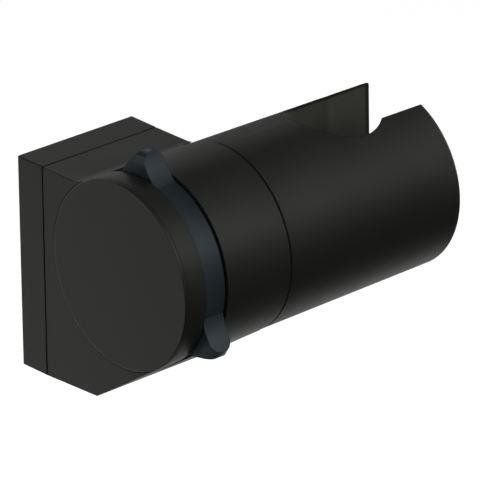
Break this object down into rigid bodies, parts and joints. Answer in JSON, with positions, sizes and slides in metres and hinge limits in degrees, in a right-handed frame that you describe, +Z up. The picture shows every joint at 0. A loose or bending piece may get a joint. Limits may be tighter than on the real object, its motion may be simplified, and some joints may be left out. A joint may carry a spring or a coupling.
{
  "type": "hand shower holder",
  "caption": "Wall holder for a hand shower: square plate and body, tilting barrel cradle with a conical slotted seat, and a clamping grip with finger tabs.",
  "frame": {"origin": "middle of the wall plate's back face, on the wall", "axes": "+X along the barrel towards the cradle's open end, +Y into the wall, +Z up"},
  "size_m": [0.0828, 0.0577, 0.0603],
  "materials": {
    "black_body": "moulded, fine satin",
    "grey_grip": "moulded, satin",
    "bearing_plastic": "moulded, slippery",
    "steel": "turned",
    "brass": "turned",
    "friction_pad": "hard, matte",
    "seal_rubber": "soft, matte"
  },
  "bodies": {
    "body": {"wall_plate": "black_body", "housing": "black_body", "end_cover": "black_body", "set_screw": "steel", "set_screw_insert": "brass", "pivot_bush": "bearing_plastic"},
    "grip": {"finger_grip": "grey_grip", "cam_hub": "bearing_plastic"},
    "cradle": {"cradle": "black_body", "pivot_bolt": "steel", "bolt_insert": "brass", "thrust_washer": "steel", "disc_springs": "steel", "slide_washer": "steel", "friction_disc": "friction_pad", "drive_pins": "steel", "tilt_stop_pin": "steel", "pivot_seal": "seal_rubber"}
  },
  "joints": [
    {"name": "cradle_tilt", "type": "hinge", "parent": "body", "child": "cradle", "pos_m": [0, -0.0336, 0.0076], "axis": [1, 0, 0], "range_deg": [-40, 40]},
    {"name": "grip_turn", "type": "hinge", "parent": "body", "child": "grip", "pos_m": [0, -0.0336, 0.0076], "axis": [1, 0, 0], "range_deg": [0, 25]}
  ]
}
